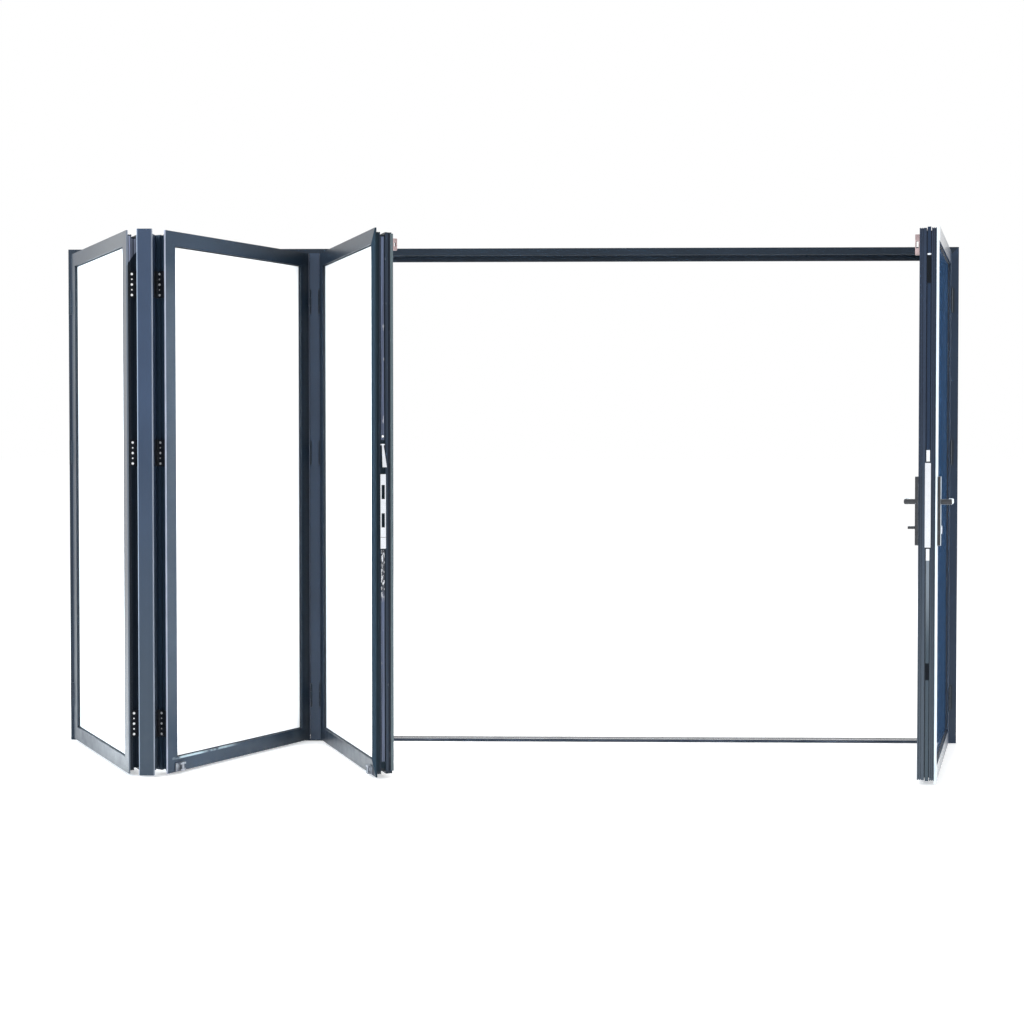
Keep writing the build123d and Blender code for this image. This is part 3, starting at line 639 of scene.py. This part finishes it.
def screw_row(name, places, metal, body, seed):
    """Turn a list of (point, facing, size) into one mesh of screw heads."""
    mesh = bpy.data.meshes.new(name)
    mesh.from_pydata([point for point, facing, size in places], [], [])
    mesh.attributes.new("facing", "FLOAT_VECTOR", "POINT")
    mesh.attributes.new("size", "FLOAT", "POINT")
    for index, (point, facing, size) in enumerate(places):
        mesh.attributes["facing"].data[index].vector = facing
        mesh.attributes["size"].data[index].value = size
    holder = bpy.data.objects.new(name, mesh)
    bpy.context.scene.collection.objects.link(holder)
    rows = holder.modifiers.new("rows", "NODES")
    rows.node_group = screws
    rows[screw_inputs["Head radius"]] = head_radius
    rows[screw_inputs["Head height"]] = head_height
    rows[screw_inputs["Seed"]] = seed
    rows[screw_inputs["Metal"]] = metal
    ready = holder.evaluated_get(bpy.context.evaluated_depsgraph_get())
    plain = bpy.data.meshes.new_from_object(ready)
    holder.modifiers.remove(rows)
    holder.data = plain
    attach(holder, body)
    return holder


hinge_heights = (0.187, 1.17404, 1.785)
plate_column = ((-0.038, 1.0), (-0.019, 0.62), (0.0, 1.0), (0.019, 0.62), (0.038, 1.0))
first_plate_depth = 0.0240
second_plate_depth = 0.0410
end_plate_face = 0.0137
lip_plate_depth = 0.0240
face_plate_inset = 0.0160
face_plate_front = -0.0033


def plate_screws(plan, x, depth, way):
    """Five screws in a column on a hinge plate, at every hinge height."""
    facing = (plan.to_3x3() @ Vector(way)).normalized()
    return [
        (plan @ Vector((x, depth, level + drop)), facing, size)
        for level in hinge_heights
        for drop, size in plate_column
    ]


outward_right = (1.0, 0.0, 0.0)
outward_left = (-1.0, 0.0, 0.0)
outward_front = (0.0, -1.0, 0.0)
fold_screws = plate_screws(leaf_1, fold_length - end_plate_face, first_plate_depth, outward_right)
shaded_screws = plate_screws(leaf_2, end_plate_face, second_plate_depth, outward_left)
screw_row("second_plate_screws", shaded_screws, dim_steel, fixed_body, 2)
fold_screws += plate_screws(leaf_1, end_plate_face, lip_plate_depth, outward_left)
fold_screws += plate_screws(leaf_2, fold_length - end_plate_face, lip_plate_depth, outward_right)
fold_screws += plate_screws(leaf_3, end_plate_face, lip_plate_depth, outward_left)
screw_row("folding_hinge_screws", fold_screws, steel, fixed_body, 3)
access_screws = plate_screws(leaf_4, access_length - face_plate_inset, face_plate_front, outward_front)
screw_row("access_hinge_screws", access_screws, hinge_coat, access_body, 5)

# Track gear: a plastic-bodied roller carriage inside the head and a guide foot in the sill,
# both on the inner mullion.
plastic_tone = (0.010, 0.011, 0.012, 1.0)
paint(rubber("black_plastic", plastic_tone, 0.38), "roller_carriage", "floor_guide")

# Lock of the access leaf: plated steel faceplate, rods that shoot up and down, black backplates
# with a lever on each side, a thumb-turn inside and a key cylinder outside.
zinc_tone = (0.90, 0.93, 0.99, 1.0)
upright_brush = (220.0, 220.0, 14.0)
zinc = bright_metal("plated_zinc", zinc_tone, upright_brush, 0.20)
paint(zinc, "lock_faceplate", "key_cylinder")
rod_foot_tone = (0.075, 0.100, 0.118, 1.0)
rod_middle_tone = (0.26, 0.30, 0.34, 1.0)
# Dark bands on the rods are painted shade, the bright band above the upper one a painted highlight.
painted_shade_tone = (0.003, 0.006, 0.010, 1.0)
pale_fade = (0.46, 0.74)
high_shade_band = (1.771, 1.773, 1.868, 1.870)
low_shade_band = (0.370, 0.372, 0.430, 0.432)
rod_highlight_band = (1.8705, 1.8715, 1.8765, 1.8775)
coupler_fade = 0.001


def bolt_rods(name, dark, bright, low_end, high_end):
    """Dull coated rods, bare and bright on the couplers next to the lock case.

    Each rod is painted dark in one band, a painted shade, and the upper one has a painted highlight just
    above that band; the lower rod is painted paler from its foot upwards, a painted reflection.
    """
    material, shader, place = finish(name)
    level = shader.node("ShaderNodeSeparateXYZ", {}, {0: place}, "Z")
    coupler = level.band(low_end - coupler_fade, low_end, high_end, high_end + coupler_fade)
    streaks = shader.noise(shader.stretch(place, (160.0, 160.0, 3.0)), 1.0, 3.0)
    lower_half = 1.0 - level.step(low_end, low_end + 0.01)
    # Paler lower rod: a painted reflection.
    pale = shader.mix(level.step(*pale_fade), rod_foot_tone, rod_middle_tone)
    tone = shader.mix(lower_half * (0.5 + streaks * 0.5), dark, pale)
    tone = shader.mix(level.band(*high_shade_band) + level.band(*low_shade_band), tone, painted_shade_tone)
    tone = shader.mix(level.band(*rod_highlight_band), tone, bright)
    surface(shader, {
        "Base Color": shader.mix(coupler, tone, bright),
        "Metallic": coupler * 0.6,
        "Roughness": 0.30 + streaks * 0.15,
        "Specular IOR Level": 0.12,
        "Normal": shader.bump(streaks, 0.00003),
    })
    return material


rod_tone = (0.018, 0.032, 0.062, 1.0)
coupler_tone = (0.80, 0.82, 0.85, 1.0)
coupler_low = 0.795
coupler_high = 1.184
paint(bolt_rods("bolt_rods", rod_tone, coupler_tone, coupler_low, coupler_high), "shoot_bolts")
# Plates, levers and thumb-turn: polished, with a painted pale sheen at grazing angles.
polished_black = cast_black("polished_black", 0.8)
paint(polished_black, "handle_plates", "outer_lever", "inner_lever", "thumb_turn")

# Meeting edge of the third leaf: plated strike plate, flush-bolt rods and the finger that
# works them, left flipped out.
paint(zinc, "strike_plate", "bolt_finger")


bare_lip = (0.024, 0.038, 0.052, 1.0)
film_streak = (0.050, 0.068, 0.100, 1.0)
film_glint = (0.36, 0.41, 0.52, 1.0)
seam_tone = (0.006, 0.010, 0.020, 1.0)
rear_tone = (0.105, 0.140, 0.155, 1.0)
film_fade = 0.001
seam_width = 0.007
crease_depth = 0.0006


def filmed_edge(name, colour, plan, start, lip, back):
    """Coat with wrinkled clear film beyond a distance along a leaf, paler behind a depth."""
    material, shader, place = finish(name)
    depth = measured(shader, place, plan, (0.0, 1.0, 0.0))
    beyond = measured(shader, place, plan, (1.0, 0.0, 0.0)).step(start - 0.002, start)
    covered = beyond * depth.step(lip, lip + film_fade)
    rear = depth.step(back, back + film_fade)
    seam = depth.step(back - seam_width, back - seam_width + film_fade) * (1.0 - rear)
    wavy = shader.noise(shader.stretch(place, (150.0, 150.0, 22.0)), 1.0, 4.0)
    streaks = shader.noise(shader.stretch(place, (320.0, 320.0, 1.6)), 1.0, 2.0)
    glint = wavy.step(0.66, 0.78) * covered
    tone = shader.mix(covered, bare_lip, colour)
    tone = shader.mix(streaks.step(0.50, 0.75) * covered * 0.6, tone, film_streak)
    tone = shader.mix(glint * 0.5, tone, film_glint)
    tone = shader.mix(seam * 0.8, tone, seam_tone)
    tone = shader.mix(rear * 0.9, tone, rear_tone)
    surface(shader, {
        "Base Color": tone,
        "Roughness": 0.30 - covered * 0.18,
        "Specular IOR Level": 0.0,
        "Coat Weight": covered * 0.5,
        "Coat Roughness": 0.10,
        "Normal": shader.bump(wavy * covered, crease_depth),
    })
    return material


crumple_tone = (0.012, 0.015, 0.024, 1.0)
crease_glint_tone = (0.75, 0.78, 0.84, 1.0)
crumple_start = 0.20
crumple_full = 0.14
crumple_end = 0.02


def filmed_rods(name, colour, film, near_plate):
    """Flush-bolt rods under a strip of film, which is crumpled close to the strike plate; its creases and
    flecks get painted glints.
    """
    material, shader, place = finish(name)
    level = shader.node("ShaderNodeSeparateXYZ", {}, {0: place}, "Z")
    crumpled = level.band(
        near_plate - crumple_start, near_plate - crumple_full, near_plate, near_plate + crumple_end
    )
    creases = shader.noise(shader.stretch(place, (190.0, 190.0, 60.0)), 1.0, 4.0)
    streaks = shader.noise(shader.stretch(place, (260.0, 260.0, 2.2)), 1.0, 2.0)
    fleck_glints = shader.noise(shader.stretch(place, (150.0, 150.0, 18.0)), 1.0, 4.0).step(0.66, 0.74)
    tone = shader.mix(streaks.step(0.30, 0.70), colour, film)
    tone = shader.mix(crumpled * 0.85, tone, crumple_tone)
    # Pale creases and flecks: painted glints.
    bright = crumpled * creases.step(0.52, 0.62) + (1.0 - crumpled) * fleck_glints * 0.6
    surface(shader, {
        "Base Color": shader.mix(bright, tone, crease_glint_tone),
        "Roughness": 0.12 + streaks * 0.20,
        "Coat Weight": 0.3 + crumpled * 0.5,
        "Normal": shader.bump(creases, crease_depth),
    })
    return material


edge_tone = (0.0150, 0.0260, 0.0450, 1.0)
film_start = fold_length - 0.0180
film_lip = 0.018
flange_depth = 0.0610
edge_coat = filmed_edge("filmed_edge", edge_tone, leaf_3, film_start, film_lip, flange_depth)
paint(edge_coat, "leaf_3_right_stile")
bare_rod = (0.022, 0.032, 0.062, 1.0)
film_blue = (0.090, 0.125, 0.220, 1.0)
strike_low = 0.83
paint(filmed_rods("filmed_rods", bare_rod, film_blue, strike_low), "fold_bolt_rods")
to_leaf_3 = leaf_3.inverted()
rod_face = max((to_leaf_3 @ corner.co).x for corner in nodes["fold_bolt_rods"].data.vertices)
rivet_lift = 0.0006
groove_middle = 0.033
rivet_height = 1.234
rivet_size = 0.9
rivet_place = leaf_3 @ Vector((rod_face + rivet_lift, groove_middle, rivet_height))
rivet = (rivet_place, leaf_3.to_3x3() @ Vector(outward_right), rivet_size)
screw_row("bolt_rivet", [rivet], steel, fixed_body, 7)

# Snap catches hold the folded leaves together: small plated castings on the bottom rails.
# Soft hollow blocks near the tops stop the leaves from knocking.
dull_tone = (0.32, 0.34, 0.38, 1.0)
cast_grain = (90.0, 90.0, 90.0)
paint(bright_metal("dull_zinc", dull_tone, cast_grain, 0.34), "stack_catches")
block_tone = (0.30, 0.22, 0.22, 1.0)
paint(rubber("pale_block", block_tone, 0.45), "leaf_3_buffer", "leaf_4_buffer")

# Studio: a pale floor under plain white surroundings. A broad lamp stands at the front left, a
# tall strip on each side and a weaker lamp behind.
floor_size = 400.0
half_floor = floor_size / 2
floor_level = -0.001
floor_mesh = bpy.data.meshes.new("floor")
floor_mesh.from_pydata(
    [(-half_floor, -half_floor, floor_level), (half_floor, -half_floor, floor_level),
     (half_floor, half_floor, floor_level), (-half_floor, half_floor, floor_level)],
    [], [(0, 1, 2, 3)],
)
floor = bpy.data.objects.new("floor", floor_mesh)
bpy.context.scene.collection.objects.link(floor)
floor_paint, floor_shader = finish("pale_floor")[:2]
surface(floor_shader, {
    "Base Color": (0.88, 0.88, 0.88, 1.0),
    "Roughness": 0.9,
    "Specular IOR Level": 0.0,
    "Emission Color": (1.0, 1.0, 1.0, 1.0),
    "Emission Strength": 0.42,
})
floor_mesh.materials.append(floor_paint)


def lamp(name, place, target, size, power, colour=(1.0, 1.0, 1.0)):
    """Broad soft lamp aimed at a point."""
    light = bpy.data.lights.new(name, "AREA")
    light.shape = "RECTANGLE"
    light.size = size[0]
    light.size_y = size[1]
    light.energy = power
    light.color = colour
    holder = bpy.data.objects.new(name, light)
    holder.location = place
    holder.rotation_euler = (Vector(target) - Vector(place)).to_track_quat("-Z", "Y").to_euler()
    holder.visible_camera = False
    bpy.context.scene.collection.objects.link(holder)
    return holder


key = lamp("key_lamp", (-5.0, -7.0, 5.5), (0.0, -0.4, 1.0), (4.0, 4.0), 300.0)
cool_light = (0.64, 0.84, 1.0)
left_strip = lamp("left_strip", (-6.5, -1.7, 1.6), (0.0, -0.5, 1.2), (3.6, 4.0), 400.0, cool_light)
right_strip = lamp("right_strip", (6.5, -0.9, 1.6), (0.0, -0.5, 1.2), (1.6, 4.0), 180.0)
back_lamp = lamp("back_lamp", (1.0, 7.0, 5.0), (0.0, 0.0, 1.0), (4.0, 4.0), 200.0)

sky = bpy.data.worlds.new("white_room")
sky.use_nodes = True
bpy.context.scene.world = sky
air = Nodes(sky.node_tree)
seen = air.node("ShaderNodeLightPath", output="Is Camera Ray")
mirrored = air.node("ShaderNodeLightPath", output="Is Glossy Ray")
through = air.node("ShaderNodeLightPath", output="Is Transmission Ray")
direct = seen.sum("MAXIMUM", seen, mirrored)
room_light = 0.7
seen_light = 1.0
glass_light = 0.4
strength = room_light + direct * (seen_light - room_light) + through * glass_light
room = air.node("ShaderNodeBackground", {}, {"Color": (1.0, 1.0, 1.0, 1.0), "Strength": strength})
air.node("ShaderNodeOutputWorld", {}, {"Surface": room})

camera_data = bpy.data.cameras.new("camera")
camera_data.sensor_width = 36.0
camera_data.lens = 59.04
camera_data.shift_y = -0.0234
camera_data.clip_end = 800.0
camera = bpy.data.objects.new("camera", camera_data)
camera.location = (0.1722, -6.8388, 1.1844)
camera.rotation_euler = (math.radians(88.708), 0.0, math.radians(1.407))
bpy.context.scene.collection.objects.link(camera)
bpy.context.scene.camera = camera
bpy.context.scene.view_settings.view_transform = "Standard"
